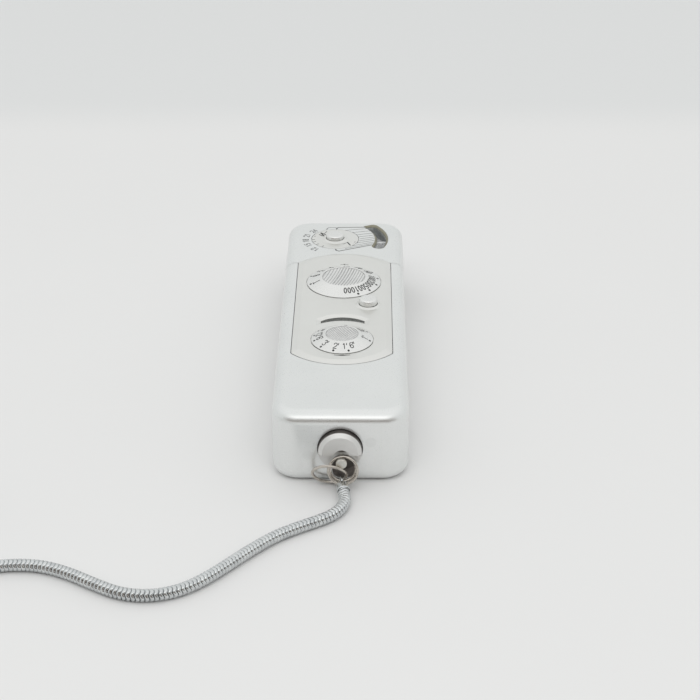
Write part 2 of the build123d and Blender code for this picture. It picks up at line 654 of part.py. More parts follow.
def supply_spool():
    return spool(SUPPLY_Y, CASE_LOW - 0.2)


def take_up_gear():
    """Its teeth fall between the pinion's on the line of centres."""
    phase = CENTRE_LINE + 180 + 180 / SPOOL_TEETH
    wheel = gear(SPOOL_GEAR_R, SPOOL_TEETH, GEAR_LOW, GEAR_HIGH, phase, 0.5)
    return Pos(SPOOL_X, TAKE_UP_Y, 0) * wheel


def transport_pinion():
    """The pinion between the rack and the take-up gear, on its own shaft."""
    wheel = gear(PINION_R, PINION_TEETH, GEAR_LOW, GEAR_HIGH, CENTRE_LINE, 0.58)
    return Pos(PINION_X, PINION_Y, 0) * wheel


def pinion_shaft():
    return post(0.5, PINION_X, PINION_Y, IN_LOW, 4.0) + post(0.9, PINION_X, PINION_Y, GEAR_HIGH + 0.1, 4.0)


def film_strip():
    """The stretch of film across the gate, between the two chambers."""
    return block(FILM_X - 0.07, FILM_X + 0.07, TAKE_UP_Y + 1.5, SUPPLY_Y - 1.5, AXIS_Z - 4.2, AXIS_Z + 4.6)


def pressure_plate():
    return block(FILM_X - 0.5, FILM_X - 0.1, LENS_Y - 5.0, LENS_Y + 5.0, AXIS_Z - 4.4, AXIS_Z + 4.4)


def pressure_spring():
    """A bowed leaf that holds the pressure plate to the film."""
    x = FILM_X - 0.52
    return [block(x - 0.6, x - 0.42, LENS_Y - 3.6, LENS_Y + 3.6, AXIS_Z - 1.2, AXIS_Z + 1.2),
            block(x - 0.42, x, LENS_Y - 3.6, LENS_Y - 3.0, AXIS_Z - 1.2, AXIS_Z + 1.2),
            block(x - 0.42, x, LENS_Y + 3.0, LENS_Y + 3.6, AXIS_Z - 1.2, AXIS_Z + 1.2)]


def finder_front_lens():
    return finder_pane(12.1, 12.6)


def finder_eyepiece():
    return finder_pane(-12.6, -12.1)


def casing_screws():
    """Four countersunk screws up through the housing's floor into the chassis tongue."""
    screws = []
    for x in (-9, 9):
        head = post(0.9, x, 25.4, 0.08, 0.55)
        screws.append(head + post(0.5, x, 25.4, 0.5, 1.9))
    return screws


NODES = [
    sliding_shell, chain_socket, chain_plug, chain_stud, split_ring, jump_ring, chain_end_cap, chain,
    chain_coil, chain_far_cap, chamber_catch, transport_rack, guide_strips,
    meter_housing, honeycomb_frame, honeycomb_lens, selenium_cell, casing_screws, chassis, deck_plate,
    control_plate, counter_window, meter_window, meter_scale,
    shutter_dial, shutter_dial_grip, shutter_cam, distance_dial, distance_dial_grip, focus_cam,
    counter_disc, release_button, release_spring,
    speed_disc, meter_button, meter_button_spring, meter_needle, moving_coil, meter_magnet, meter_bridge,
    lens_window, finder_front_lens, finder_eyepiece, finder_tube, lens_carriage, lens_glasses,
    shutter_base, shutter_blade, blade_pivot, filter_slide, filter_glasses,
    film_cassette, supply_spool, take_up_spool, take_up_gear, transport_pinion, pinion_shaft,
    film_strip, pressure_plate, pressure_spring,
]

for maker in NODES:
    save(maker)
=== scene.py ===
"""Looks for a pull-apart subminiature camera: chain, markings, knurling, materials, floor and light.

Lengths are written in millimetres in the CAD frame and turned into metres by MM.
"""

from math import atan2, ceil, cos, degrees, hypot, pi, radians, sin, sqrt

import bpy
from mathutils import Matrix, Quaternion, Vector


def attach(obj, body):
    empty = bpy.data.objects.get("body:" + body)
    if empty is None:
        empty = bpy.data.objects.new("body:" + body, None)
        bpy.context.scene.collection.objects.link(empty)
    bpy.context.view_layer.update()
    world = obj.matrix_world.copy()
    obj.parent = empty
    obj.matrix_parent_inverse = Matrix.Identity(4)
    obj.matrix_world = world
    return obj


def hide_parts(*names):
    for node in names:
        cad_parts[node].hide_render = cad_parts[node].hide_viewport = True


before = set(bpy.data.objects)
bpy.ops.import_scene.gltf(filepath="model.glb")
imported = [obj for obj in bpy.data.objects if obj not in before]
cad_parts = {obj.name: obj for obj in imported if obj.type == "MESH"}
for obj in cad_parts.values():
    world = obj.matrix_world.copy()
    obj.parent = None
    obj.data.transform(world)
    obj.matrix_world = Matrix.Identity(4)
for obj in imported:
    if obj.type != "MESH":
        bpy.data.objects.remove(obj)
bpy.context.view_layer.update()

MM = 0.001

# The casing's levels and centres, as in part.py
CASE_TOP, PLATE_TOP, DISC_TOP = 16.0, 16.42, 16.05
SHUTTER = (0.0, 12.15)
DISTANCE = (0.0, -16.9)
METER = (-3.1, 37.7)
SPEED = (-2.45, 37.6)
SHUTTER_R, SHUTTER_GRIP = 8.5, 4.85
DISTANCE_R, DISTANCE_GRIP = 6.7, 3.45
DIAL_RIM, DIAL_RIDGE, GRIP_DISH = 16.62, 17.95, 0.4
METER_INNER, METER_OUTER = 10.8, 13.1
METER_FROM, METER_TO, METER_LEAN = -26.0, 44.0, 5.0

# Where the plug's finish turns dark with painted shade, in metres
PLUG_WALL_Y, PLUG_SHADE_Z = (-0.05030, -0.05018), (0.0076, 0.0078)
PLUG_CUT_CENTRE, PLUG_CUT_R = (0.0007, -0.0497, 0.0046), 0.0027

# The near end of the shell: its plane just proud of the CAD face, its edge radius, and what lies on it
END_Y, PATCH_LIFT, SPOT_LIFT, SHELL_EDGE = -49.0, 0.012, 0.008, 2.5
# PATCH_* place a dark sheet of painted shade on the near end, behind the rings
PATCH_X, PATCH_Z, PATCH_R = 0.7, 3.2, 2.35
SPOT_R = 1.1

# The chain
CHAIN_D, CHAIN_Z, LINK_PITCH = 2.5, 1.25, 0.83
CHAIN_ROUTE = [
    (0.34, -60.8), (-1.38, -63.2), (-4.1, -65.25), (-7.9, -67.5),
    (-12.2, -70.6), (-16.5, -75.2), (-20.6, -80.3), (-25.0, -85.6), (-29.5, -89.2), (-34.6, -90.7),
    (-40.0, -90.0), (-45.5, -86.7), (-50.6, -83.3), (-56.0, -81.0), (-61.8, -80.7), (-67.8, -82.0),
    (-74.0, -83.4), (-80.2, -83.5), (-86.2, -83.1),
]
COIL_X, COIL_Y, COIL_START, COIL_TURNS, LAST_BEND = -92.0, -62.0, 21.0, 5.5, 5.2
COIL_STEP = 20.0
RING_C, RING_R, RING_WIRE, RING_TILT = (0.6, -51.72, 4.60), 2.92, 0.62, 12.0
RING_FIRST_ANGLE, RING_TURNS, RING_STEPS = 96.0, 2.06, 120
RING_INSET, RING_SPREAD = 0.28, 0.44


# Camera

def make_camera():
    azimuth, elevation, roll = radians(0.636), radians(27.507), radians(-0.14)
    target = Vector((1.58, -5.647, 8.0)) * MM
    back = Vector((sin(azimuth) * cos(elevation), -cos(azimuth) * cos(elevation), sin(elevation)))
    data = bpy.data.cameras.new("camera")
    data.lens, data.sensor_width = 91.0, 36.0
    data.clip_start, data.clip_end = 0.01, 20
    camera = bpy.data.objects.new("camera", data)
    camera.location = target + back * 0.3966
    camera.rotation_mode = "QUATERNION"
    camera.rotation_quaternion = back.to_track_quat("Z", "Y") @ Quaternion((0, 0, 1), roll)
    bpy.context.collection.objects.link(camera)
    bpy.context.scene.camera = camera


# Node helpers

def nodes_of(name):
    """A new material with its Principled shader and object coordinates."""
    material = bpy.data.materials.new(name)
    material.use_nodes = True
    tree = material.node_tree
    shader = next(n for n in tree.nodes if n.type == "BSDF_PRINCIPLED")
    place = tree.nodes.new("ShaderNodeTexCoord")
    return material, tree, shader, place.outputs["Object"]


def noise(tree, place, size, detail=2.0, stretch=(1, 1, 1)):
    """Noise with features of a size in millimetres."""
    mapping = tree.nodes.new("ShaderNodeMapping")
    mapping.inputs["Scale"].default_value = [s / (size * MM) for s in stretch]
    tree.links.new(place, mapping.inputs["Vector"])
    texture = tree.nodes.new("ShaderNodeTexNoise")
    texture.inputs["Scale"].default_value = 1.0
    texture.inputs["Detail"].default_value = detail
    tree.links.new(mapping.outputs["Vector"], texture.inputs["Vector"])
    return texture.outputs["Fac"]


def remap(tree, value, low, high, to_low, to_high):
    node = tree.nodes.new("ShaderNodeMapRange")
    for name, number in zip(("From Min", "From Max", "To Min", "To Max"), (low, high, to_low, to_high)):
        node.inputs[name].default_value = number
    tree.links.new(value, node.inputs["Value"])
    return node.outputs["Result"]


def mix(tree, factor, one, other):
    node = tree.nodes.new("ShaderNodeMix")
    node.data_type = "RGBA"
    tree.links.new(factor, node.inputs["Factor"])
    node.inputs["A"].default_value = (*one, 1)
    node.inputs["B"].default_value = (*other, 1)
    return node.outputs["Result"]


def bump(tree, shader, height, depth):
    node = tree.nodes.new("ShaderNodeBump")
    node.inputs["Distance"].default_value = depth * MM
    node.inputs["Strength"].default_value = 0.5
    tree.links.new(height, node.inputs["Height"])
    tree.links.new(node.outputs["Normal"], shader.inputs["Normal"])


def surface(name, light, dark, rough=(0.3, 0.4), grain=0.12, depth=0.004, metallic=1.0,
            stretch=(1, 1, 1), blotch=6.0, **sockets):
    """A finish: slow colour variation, fine grain in the roughness, and a fine bump."""
    material, tree, shader, place = nodes_of(name)
    slow = remap(tree, noise(tree, place, blotch, 3), 0.3, 0.7, 0, 1)
    tree.links.new(mix(tree, slow, dark, light), shader.inputs["Base Color"])
    fine = noise(tree, place, grain, 2, stretch)
    tree.links.new(remap(tree, fine, 0.3, 0.7, *rough), shader.inputs["Roughness"])
    bump(tree, shader, fine, depth)
    shader.inputs["Metallic"].default_value = metallic
    for socket, number in sockets.items():
        shader.inputs[socket.replace("_", " ")].default_value = number
    return material


def grey(value):
    return (value, value, value)


def make_materials():
    found = {
        "satin": surface("satin_aluminium", (0.82, 0.832, 0.825), (0.79, 0.805, 0.797), (0.27, 0.34),
                         0.16, 0.0035, metallic=0.85, blotch=14),
        "plate": surface("satin_plate", (0.81, 0.812, 0.79), (0.785, 0.785, 0.762), (0.33, 0.41),
                         0.16, 0.0035, blotch=9),
        "dial": surface("dial_finish", (0.84, 0.842, 0.83), (0.81, 0.813, 0.80), (0.26, 0.34),
                        0.14, 0.0025, blotch=8),
        "nickel": surface("warm_nickel", (0.62, 0.58, 0.53), (0.50, 0.465, 0.42), (0.14, 0.26),
                          0.3, 0.006, blotch=1.6),
        "links": surface("chain_steel", (0.74, 0.76, 0.76), (0.58, 0.60, 0.61), (0.12, 0.26),
                         0.25, 0.006, blotch=2.2),
        "stud": surface("turned_steel", (0.78, 0.76, 0.71), (0.68, 0.66, 0.61), (0.3, 0.42), 0.12, 0.005,
                        blotch=0.9),
        "steel": surface("brushed_steel", grey(0.62), grey(0.52), (0.28, 0.42), 0.1, 0.004,
                         stretch=(1, 0.05, 1)),
        "spring": surface("spring_steel", grey(0.36), grey(0.26), (0.25, 0.4), 0.2, 0.004),
        "brass": surface("brass", (0.72, 0.56, 0.28), (0.60, 0.45, 0.22), (0.25, 0.4), 0.2, 0.004),
        "bronze": surface("bronze", (0.60, 0.44, 0.27), (0.50, 0.35, 0.21), (0.3, 0.45), 0.2, 0.004,
                          stretch=(1, 0.1, 1)),
        "copper": surface("copper_wire", (0.72, 0.36, 0.22), (0.58, 0.27, 0.16), (0.25, 0.4), 0.18, 0.01,
                          stretch=(0.1, 0.1, 1)),
        "magnet": surface("magnet", grey(0.22), grey(0.15), (0.4, 0.55), 0.2, 0.006),
        "black": surface("black_metal", grey(0.035), grey(0.02), (0.5, 0.65), 0.1, 0.005, metallic=0.0),
        "moulded": surface("black_plastic", grey(0.045), grey(0.03), (0.45, 0.6), 0.15, 0.004,
                           metallic=0.0),
        "cassette": surface("cassette", grey(0.08), grey(0.06), (0.45, 0.6), 0.2, 0.004, metallic=0.0),
        "film": surface("film", (0.11, 0.085, 0.075), (0.09, 0.07, 0.06), (0.2, 0.3), 0.3, 0.002,
                        metallic=0.0),
        "selenium": surface("selenium", (0.20, 0.14, 0.12), (0.14, 0.10, 0.09), (0.3, 0.45), 0.3, 0.004,
                            metallic=0.6, blotch=2),
        "scale": surface("scale_paint", grey(0.82), grey(0.76), (0.5, 0.6), 0.15, 0.003, metallic=0.0),
        "pointer": surface("pointer_paint", grey(0.80), grey(0.74), (0.4, 0.5), 0.15, 0.003, metallic=0.0),
        "counter": surface("counter_paint", grey(0.05), grey(0.035), (0.4, 0.5), 0.15, 0.003, metallic=0.0),
        "ink": surface("black_ink", grey(0.022), grey(0.012), (0.5, 0.65), 0.08, 0.003,
                       metallic=0.0, blotch=1),
        "fine_ink": surface("fine_ink", grey(0.20), grey(0.12), (0.5, 0.65), 0.08, 0.003,
                            metallic=0.0, blotch=1.2),
        "white_ink": surface("white_ink", grey(0.75), grey(0.65), (0.5, 0.6), 0.08, 0.003,
                             metallic=0.0, blotch=1),
        "olive": surface("olive_rim", (0.30, 0.285, 0.215), (0.24, 0.23, 0.175), (0.4, 0.55), 0.12, 0.004,
                         metallic=0.35, blotch=1.5),
        # painted shade: the dark core seen through the chain's gaps
        "core_shade": surface("chain_core_shade", grey(0.10), grey(0.05), (0.4, 0.6), 0.2, 0.005, blotch=1),
        "window": surface("clear_window", (0.60, 0.63, 0.63), (0.55, 0.58, 0.58), (0.04, 0.1), 0.6, 0.0005,
                          metallic=0.0, Alpha=0.1),
        # painted shade: the darker finish of the knurl grooves
        "groove_shade": surface("knurl_groove_shade", grey(0.56), grey(0.46), (0.4, 0.5), 0.1, 0.003, metallic=0.8,
                          blotch=1.2),
        "spot": surface("weld_spot", (0.80, 0.812, 0.805), (0.775, 0.79, 0.782), (0.33, 0.40), 0.16, 0.0035,
                        metallic=0.85, blotch=1),
        # painted shade: the dark finish of the sheet behind the rings
        "patch_shade": surface("painted_shade_dark", (0.17, 0.15, 0.138), (0.10, 0.088, 0.08), (0.4, 0.5), 0.15, 0.003,
                         metallic=0.6, blotch=1.2),
        "glass": surface("clear_glass", (0.93, 0.95, 0.95), (0.90, 0.93, 0.93), (0.01, 0.04), 0.8, 0.0005,
                         metallic=0.0, Transmission_Weight=1.0, IOR=1.5),
        "coated": surface("coated_glass", (0.80, 0.76, 0.90), (0.70, 0.66, 0.85), (0.01, 0.04), 0.8, 0.0005,
                          metallic=0.0, Transmission_Weight=1.0, IOR=1.6, Coat_Weight=0.6),
        "filter": surface("filter_glass", (0.50, 0.78, 0.30), (0.44, 0.72, 0.26), (0.02, 0.05), 0.8, 0.0005,
                          metallic=0.0, Transmission_Weight=1.0, IOR=1.5),
        "lenslets": surface("lenslets", (0.88, 0.89, 0.86), (0.82, 0.83, 0.80), (0.08, 0.16), 0.3, 0.002,
                            metallic=0.0, Transmission_Weight=0.75, IOR=1.49),
    }
    found["plug"] = plug_finish_and_shade()
    return found


def plug_finish_and_shade():
    """The plug's finish, with painted shade high on its side wall and in the cut behind the stud."""
    material, tree, shader, place = nodes_of("plug_finish_and_shade")
    split = tree.nodes.new("ShaderNodeSeparateXYZ")
    tree.links.new(place, split.inputs["Vector"])
    behind = remap(tree, split.outputs["Y"], *PLUG_WALL_Y, 0, 1)
    over = remap(tree, split.outputs["Z"], *PLUG_SHADE_Z, 0, 1)
    grain = noise(tree, place, 0.15)
    mapping = tree.nodes.new("ShaderNodeMapping")
    mapping.vector_type = "TEXTURE"
    mapping.inputs["Location"].default_value = PLUG_CUT_CENTRE
    mapping.inputs["Scale"].default_value = (PLUG_CUT_R, PLUG_CUT_R, PLUG_CUT_R)
    ball = tree.nodes.new("ShaderNodeTexGradient")
    ball.gradient_type = "SPHERICAL"
    tree.links.new(place, mapping.inputs["Vector"])
    tree.links.new(mapping.outputs["Vector"], ball.inputs["Vector"])
    either = tree.nodes.new("ShaderNodeMath")
    either.operation = "MAXIMUM"
    tree.links.new(over, either.inputs[0])
    tree.links.new(remap(tree, ball.outputs["Fac"], 0.0, 0.15, 0, 1), either.inputs[1])
    dark = tree.nodes.new("ShaderNodeMath")
    dark.operation = "MULTIPLY"
    tree.links.new(either.outputs["Value"], dark.inputs[0])
    tree.links.new(behind, dark.inputs[1])
    # painted shade: dark colour mixed in above the side wall's edge and inside the cut
    shaded = tree.nodes.new("ShaderNodeMix")
    shaded.data_type = "RGBA"
    tree.links.new(dark.outputs["Value"], shaded.inputs["Factor"])
    tree.links.new(mix(tree, noise(tree, place, 1.5), (0.74, 0.735, 0.72), (0.70, 0.695, 0.68)),
                   shaded.inputs["A"])
    tree.links.new(mix(tree, noise(tree, place, 1.0), (0.13, 0.115, 0.105), (0.07, 0.062, 0.058)),
                   shaded.inputs["B"])
    tree.links.new(shaded.outputs["Result"], shader.inputs["Base Color"])
    tree.links.new(remap(tree, grain, 0.3, 0.7, 0.36, 0.46), shader.inputs["Roughness"])
    bump(tree, shader, grain, 0.003)
    shader.inputs["Metallic"].default_value = 0.9
    return material


NODE_FINISH = {
    "satin": ["sliding_shell", "meter_housing", "honeycomb_frame"],
    "plate": ["control_plate", "speed_disc"],
    "dial": ["shutter_dial", "distance_dial", "release_button", "meter_button",
             "shutter_dial_grip", "distance_dial_grip"],
    "nickel": ["jump_ring"],
    "links": ["chain_far_cap", "chain_end_cap"],
    "plug": ["chain_plug"],
    "stud": ["chain_stud"],
    "steel": ["chassis", "deck_plate", "casing_screws", "pinion_shaft", "blade_pivot", "chamber_catch"],
    "spring": ["release_spring", "meter_button_spring", "shutter_blade", "pressure_spring"],
    "brass": ["transport_rack", "transport_pinion", "take_up_gear", "shutter_cam", "focus_cam"],
    "bronze": ["guide_strips"],
    "copper": ["moving_coil"],
    "magnet": ["meter_magnet"],
    "black": ["chain_socket", "finder_tube", "lens_carriage", "shutter_base", "filter_slide",
              "pressure_plate"],
    "moulded": ["meter_bridge"],
    "cassette": ["film_cassette"],
    "film": ["film_strip", "supply_spool", "take_up_spool"],
    "selenium": ["selenium_cell"],
    "scale": ["meter_scale"],
    "pointer": ["meter_needle"],
    "counter": ["counter_disc"],
    "window": ["counter_window", "meter_window"],
    "glass": ["lens_window", "finder_front_lens", "finder_eyepiece"],
    "coated": ["lens_glasses"],
    "filter": ["filter_glasses"],
    "lenslets": ["honeycomb_lens"],
}


def finish_nodes():
    for finish, names in NODE_FINISH.items():
        for name in names:
            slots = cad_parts[name].data.materials
            slots.clear()
            slots.append(FINISH[finish])


def mesh_piece(name, points, faces, body, finishes, smooth=True, face_finish=None):
    """A piece from points in millimetres, riding on a body."""
    mesh = bpy.data.meshes.new(name)
    mesh.from_pydata([Vector(p) * MM for p in points], [], faces)
    for finish in finishes:
        mesh.materials.append(FINISH[finish])
    if face_finish:
        mesh.polygons.foreach_set("material_index", face_finish)
    mesh.polygons.foreach_set("use_smooth", [smooth] * len(mesh.polygons))
    mesh.update()
    piece = bpy.data.objects.new(name, mesh)
    bpy.context.collection.objects.link(piece)
    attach(piece, body)
    return piece


# The chain

def chain_points():
    """The route's control points: out of the cap, over the floor, round the coil, into the far cap."""
    points = [(0.74, -54.6, 1.66), (0.95, -56.2, 1.36), (1.15, -57.9, CHAIN_Z)]
    points += [(x, y, CHAIN_Z) for x, y in CHAIN_ROUTE]
    swell = 1 / cos(radians(COIL_STEP / 2))
    for step in range(1, int(COIL_TURNS * 360 / COIL_STEP) + 1):
        turned = COIL_STEP * step
        radius = (COIL_START - CHAIN_D * turned / 360) * swell
        angle = radians(-90 - turned)
        points.append((COIL_X + radius * cos(angle), COIL_Y + radius * sin(angle), CHAIN_Z))
    top = COIL_START - CHAIN_D * COIL_TURNS
    for angle in (70, 45, 20):
        bend = LAST_BEND * 1.03
        points.append((COIL_X + bend * cos(radians(angle)),
                       COIL_Y + top - LAST_BEND + bend * sin(radians(angle)), CHAIN_Z + 0.04))
    points.append((COIL_X + LAST_BEND, COIL_Y + top - LAST_BEND - 0.1, CHAIN_Z + 0.12))
    points.append((COIL_X + LAST_BEND, COIL_Y + top - LAST_BEND - 0.8, CHAIN_Z + 0.12))
    return points


def nurbs_line(points):
    """Points along the smooth NURBS line that has these control points, in millimetres."""
    curve = bpy.data.curves.new("route", "CURVE")
    curve.dimensions = "3D"
    curve.resolution_u = 10
    spline = curve.splines.new("NURBS")
    spline.points.add(len(points) - 1)
    for point, place in zip(spline.points, points):
        point.co = (*place, 1)
    spline.order_u = 3
    spline.use_endpoint_u = True
    holder = bpy.data.objects.new("route", curve)
    bpy.context.collection.objects.link(holder)
    mesh = bpy.data.meshes.new_from_object(holder)
    line = [v.co.copy() for v in mesh.vertices]
    bpy.data.objects.remove(holder)
    bpy.data.meshes.remove(mesh)
    return line


def evenly(line, pitch):
    """Points a pitch apart along a line, each with the line's direction."""
    out, left = [], 0.0
    for start, end in zip(line, line[1:]):
        length = (end - start).length
        while left <= length and length > 1e-9:
            out.append([start.lerp(end, left / length), (end - start).normalized()])
            left += pitch
        left -= length
    for before, here, after in zip(out, out[1:], out[2:]):
        here[1] = (after[0] - before[0]).normalized()
    return out


def snake_chain():
    """Wavy interlocking links round a dark core, whose dark finish is painted shade seen in the gaps."""
    line = nurbs_line(chain_points())
    stations = evenly(line, LINK_PITCH)
    around, radius = 24, CHAIN_D / 2
    band = [(-0.40, -0.24), (-0.24, -0.02), (0.24, -0.02), (0.40, -0.24)]
    points, faces, finishes = [], [], []
    for centre, along in stations:
        side = along.cross(Vector((0, 0, 1))).normalized()
        up = side.cross(along)
        first = len(points)
        for offset, sink in band:
            for i in range(around):
                angle = 2 * pi * i / around
                lobe = abs(sin(2 * (angle - pi / 3)))
                out = side * cos(angle) + up * sin(angle)
                points.append(centre + out * (radius + sink - 0.09 * (1 - lobe)**2)
                              + along * (offset + 0.30 * (1 - lobe)))
        for row in range(len(band) - 1):
            for i in range(around):
                a, b = first + row * around + i, first + row * around + (i + 1) % around
                faces.append((a, b, b + around, a + around))
                finishes.append(0)
    # The core's dark finish is painted shade seen between the links
    core_sides = 10
    first = len(points)
    for centre, along in stations:
        side = along.cross(Vector((0, 0, 1))).normalized()
        up = side.cross(along)
        for i in range(core_sides):
            angle = 2 * pi * i / core_sides
            points.append(centre + (side * cos(angle) + up * sin(angle)) * (radius - 0.24))
    for row in range(len(stations) - 1):
        for i in range(core_sides):
            a = first + row * core_sides + i
            b = first + row * core_sides + (i + 1) % core_sides
            faces.append((a, b, b + core_sides, a + core_sides))
            finishes.append(1)
    piece = mesh_piece("snake_chain", points, faces, "sliding_shell", ["links", "core_shade"],
                       face_finish=finishes)
    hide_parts("chain", "chain_coil")
    return piece, line


def tube(name, line, radius, sides, body, finish, taper=0):
    """A wire along a line, closed at its ends, narrowing over its last points if asked."""
    points, faces = [], []
    up = Vector((0, 0, 1))
    count = len(line)
    for n, place in enumerate(line):
        along = (line[min(n + 1, count - 1)] - line[max(n - 1, 0)]).normalized()
        side = along.cross(up)
        if side.length < 0.05:
            side = along.orthogonal()
        side.normalize()
        up = side.cross(along).normalized()
        near_end = min(n, count - 1 - n)
        thin = 1 if near_end >= taper else 0.35 + 0.65 * near_end / max(taper, 1)
        points += [place + (side * cos(2 * pi * i / sides) + up * sin(2 * pi * i / sides)) * radius * thin
                   for i in range(sides)]
    for n in range(count - 1):
        for i in range(sides):
            a, b = n * sides + i, n * sides + (i + 1) % sides
            faces.append((a, b, b + sides, a + sides))
    faces.append(tuple(reversed(range(sides))))
    faces.append(tuple(range((count - 1) * sides, count * sides)))
    return mesh_piece(name, points, faces, body, [finish])


def split_ring():
    """Two turns of wire, the second riding inside the first except at the top."""
    lean = Quaternion((1, 0, 0), radians(90 - RING_TILT))
    line = []
    for n in range(RING_STEPS + 1):
        share = n / RING_STEPS
        angle = radians(RING_FIRST_ANGLE) + 2 * pi * RING_TURNS * share
        inner = min(max((share - 0.44) / 0.1, 0), 1)
        radius = RING_R - RING_INSET * inner
        offset = Vector((radius * cos(angle), radius * sin(angle) + RING_INSET * inner,
                         RING_SPREAD * (0.5 - inner)))
        line.append(Vector(RING_C) + lean @ offset)
    piece = tube("split_ring_wire", line, RING_WIRE / 2 - 0.01, 12, "sliding_shell", "nickel",
                 taper=3)
    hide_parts("split_ring")


# Markings

GLYPHS = {
    "1": [[(0.25, 0.80), (0.55, 1), (0.55, 0)]],
    "2": [[(0.03, 0.75), (0.13, 0.93), (0.36, 1), (0.66, 1), (0.90, 0.88), (0.94, 0.68), (0.8, 0.48), (0, 0),
           (1, 0)]],
    "3": [[(0.06, 0.86), (0.3, 1), (0.65, 1), (0.92, 0.86), (0.9, 0.66), (0.6, 0.53), (0.93, 0.40),
           (0.97, 0.18), (0.72, 0.02), (0.36, 0), (0.0, 0.16)]],
    "4": [[(0.75, 0), (0.75, 1), (0, 0.3), (1, 0.3)]],
    "5": [[(0.9, 1), (0.16, 1), (0.1, 0.55), (0.36, 0.64), (0.66, 0.62), (0.94, 0.46), (0.96, 0.22),
           (0.76, 0.03), (0.42, 0), (0.0, 0.14)]],
    "6": [[(0.86, 0.95), (0.5, 1), (0.2, 0.84), (0.04, 0.5), (0.05, 0.22), (0.26, 0.02), (0.62, 0),
           (0.92, 0.14), (0.96, 0.36), (0.82, 0.54), (0.52, 0.6), (0.2, 0.5), (0.05, 0.3)]],
    "7": [[(0, 1), (1, 1), (0.36, 0)]],
    "B": [[(0, 0), (0, 1), (0.62, 1), (0.9, 0.88), (0.88, 0.65), (0.6, 0.53), (0, 0.53)],
          [(0.6, 0.53), (0.96, 0.4), (0.96, 0.14), (0.68, 0), (0, 0)]],
    "T": [[(0, 1), (1, 1)], [(0.5, 1), (0.5, 0)]],
    "'": [[(0.34, 1), (0.20, 0.70)]],
    '"': [[(0.24, 1), (0.10, 0.70)], [(0.62, 1), (0.48, 0.70)]],
    "0": [[(0.5 + 0.46 * cos(a), 0.5 + 0.5 * sin(a)) for a in [pi / 6 * i for i in range(13)]]],
    "8": [[(0.5 + 0.38 * cos(a), 0.76 + 0.24 * sin(a)) for a in [pi / 5 * i for i in range(11)]],
          [(0.5 + 0.46 * cos(a), 0.27 + 0.27 * sin(a)) for a in [pi / 5 * i for i in range(11)]]],
    "~": [[(0.5 + 0.62 * cos(a), 0.5 + 0.24 * sin(2 * a)) for a in [pi / 10 * i for i in range(21)]]],
}
GLYPHS["9"] = [[(1 - x, 1 - y) for x, y in line] for line in GLYPHS["6"]]


def polar(centre, radius, angle):
    return Vector((centre[0] + radius * cos(radians(angle)), centre[1] + radius * sin(radians(angle))))


def write(text, centre, radius, angle, step, height, width, outward):
    """Strokes for text round a centre. outward says whether the tops of the figures point outwards."""
    strokes = []
    for n, character in enumerate(text):
        turn = angle + n * step
        middle = polar(centre, radius, turn)
        up = Vector((cos(radians(turn)), sin(radians(turn)))) * (1 if outward else -1)
        right = Vector((up.y, -up.x))
        for line in GLYPHS.get(character, []):
            strokes.append([middle + right * (x - 0.5) * width + up * (y - 0.5) * height for x, y in line])
    return strokes


def capsule(start, end, half):
    """The outline of a stroke with round ends."""
    lean = atan2(end.y - start.y, end.x - start.x)
    outline = []
    for centre, first in ((end, -pi / 2), (start, pi / 2)):
        outline += [centre + half * Vector((cos(lean + first + pi * i / 4), sin(lean + first + pi * i / 4)))
                    for i in range(5)]
    return outline


def ink(name, marks, level, body, finish="ink", lift=0.012):
    """Paint on a surface. marks are (line, width) pairs in plan; level gives the surface's height."""
    points, faces = [], []
    for line, width in marks:
        pairs = list(zip(line, line[1:])) if len(line) > 1 else [(line[0], line[0])]
        for start, end in pairs:
            outline = capsule(Vector(start), Vector(end), width / 2)
            first, count = len(points), len(outline)
            points += [(p.x, p.y, level(p.x, p.y) + lift) for p in outline]
            points += [(p.x, p.y, level(p.x, p.y) - 0.03) for p in outline]
            faces.append(tuple(first + i for i in range(count)))
            faces.append(tuple(first + count + i for i in reversed(range(count))))
            for i in range(count):
                j = (i + 1) % count
                faces.append((first + i, first + count + i, first + count + j, first + j))
    return mesh_piece(name, points, faces, body, [finish], smooth=False)


def cone(centre, radius, grip):
    """The height of a dial's coned face."""
    outer, inner = radius - 0.1, grip + 0.42

    def level(x, y):
        share = (outer - hypot(x - centre[0], y - centre[1])) / (outer - inner)
        return DIAL_RIM + (DIAL_RIDGE - 0.06 - DIAL_RIM) * share

    return level


def flat(height):
    return lambda x, y: height


def shutter_marks():
    angles = [-64.5, -41, -17, 7.5, 34, 61, 88, 115, 140.5, 164, 195]
    labels = ["1000", "500", "200", "100", "50", "20", "10", "5", "2", "B", "T"]
    marks = []
    for angle, label in zip(angles, labels):
        marks.append(([polar(SHUTTER, 7.85, angle)], 0.58))
        strokes = write(label, SHUTTER, 6.55, angle + 2, -7.9, 1.45, 0.62, True)
        marks += [(line, 0.22) for line in strokes]
    ink("shutter_figures", marks, cone(SHUTTER, SHUTTER_R, SHUTTER_GRIP), "shutter_dial")


def distance_marks():
    stops = [("8\"", 82, 0), ("10\"", 28, -4), ("1'", -12.6, 0), ("1'6\"", -76, -8), ("2'", -107, 1),
             ("3'", -137, 0), ("6'", -167, 0), ("12'", -190, -3), ("~", -212, 0)]
    marks = []
    for label, angle, shift in stops:
        marks.append(([polar(DISTANCE, 6.15, angle)], 0.52))
        strokes = write(label, DISTANCE, 4.98, angle + shift, 9.2, 1.3, 0.72, False)
        marks += [(line, 0.17) for line in strokes]
    ink("distance_figures", marks, cone(DISTANCE, DISTANCE_R, DISTANCE_GRIP), "distance_dial")


